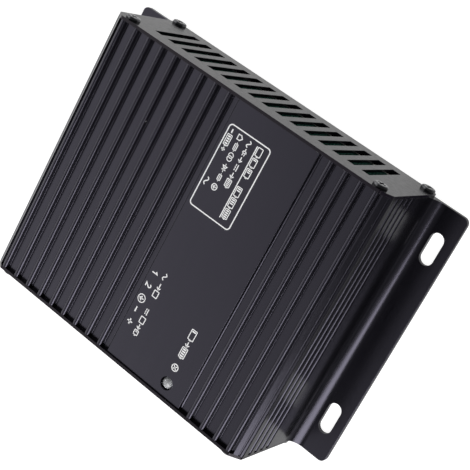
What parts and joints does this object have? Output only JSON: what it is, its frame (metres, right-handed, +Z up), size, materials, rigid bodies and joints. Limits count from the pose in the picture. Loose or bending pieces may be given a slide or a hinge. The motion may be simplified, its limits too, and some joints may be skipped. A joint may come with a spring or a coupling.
{
  "type": "battery charger",
  "caption": "Flat battery charger in a finned black metal housing with slotted mounting flanges, a vented end plate and screw terminals.",
  "frame": {"origin": "middle of the base, at the bottom centre of the bounding box", "axes": "+X along the extrusion towards the terminal end, +Y across the housing towards the narrow group of fins, +Z up out of the finned top"},
  "size_m": [0.115, 0.1616, 0.0444],
  "materials": {
    "housing_metal": "black satin anodised extrusion",
    "plate_metal": "black satin paint on sheet",
    "dark_screws": "black plated",
    "board": "green lacquered laminate",
    "black_plastic": "moulded, matt",
    "tinned_brass": "tinned",
    "plated_steel": "bright zinc plated",
    "lamp_resin": "clear resin, unlit",
    "wire_cover": "insulated wire",
    "white_plastic": "moulded, off-white",
    "fuse_glass": "glass tube with end caps",
    "blue_resin": "dipped resin",
    "yellow_plastic": "moulded box",
    "green_core": "coated ring core",
    "copper": "enamelled copper wire",
    "black_resin": "moulded resin",
    "capacitor_sleeve": "shrunk sleeve",
    "bare_aluminium": "bare extruded",
    "ferrite": "ground ferrite",
    "bobbin_plastic": "moulded",
    "winding_tape": "yellow polyester tape",
    "yellow_core": "coated powder core",
    "white_ceramic": "ceramic case",
    "blue_plastic": "moulded"
  },
  "bodies": {
    "root": {"housing": "housing_metal", "vent_plate": "plate_metal", "terminal_plate": "plate_metal", "vent_plate_screws": "dark_screws", "terminal_plate_screws": "dark_screws", "circuit_board": "board", "terminal_body": "black_plastic", "terminal_contacts": "tinned_brass", "terminal_clamps": "plated_steel", "terminal_screws": "plated_steel", "lamp": "lamp_resin", "lamp_holder": "black_plastic", "lamp_wires": "wire_cover", "lamp_plug": "white_plastic", "fuse": "fuse_glass", "fuse_clips": "tinned_brass", "surge_absorber": "blue_resin", "line_capacitor": "yellow_plastic", "line_choke_core": "green_core", "line_choke_windings": "copper", "bridge_rectifier": "black_resin", "reservoir_capacitor": "capacitor_sleeve", "switch_heatsink": "bare_aluminium", "switch_transistor": "black_resin", "transformer_core": "ferrite", "transformer_bobbin": "bobbin_plastic", "transformer_winding": "winding_tape", "output_heatsink": "bare_aluminium", "output_diode": "black_resin", "heatsink_screws": "plated_steel", "output_choke_core": "yellow_core", "output_choke_winding": "copper", "output_capacitors": "capacitor_sleeve", "current_shunt": "white_ceramic", "control_chip": "black_resin", "signal_couplers": "white_plastic", "adjusters": "blue_plastic", "interference_capacitors": "blue_resin"}
  },
  "joints": []
}
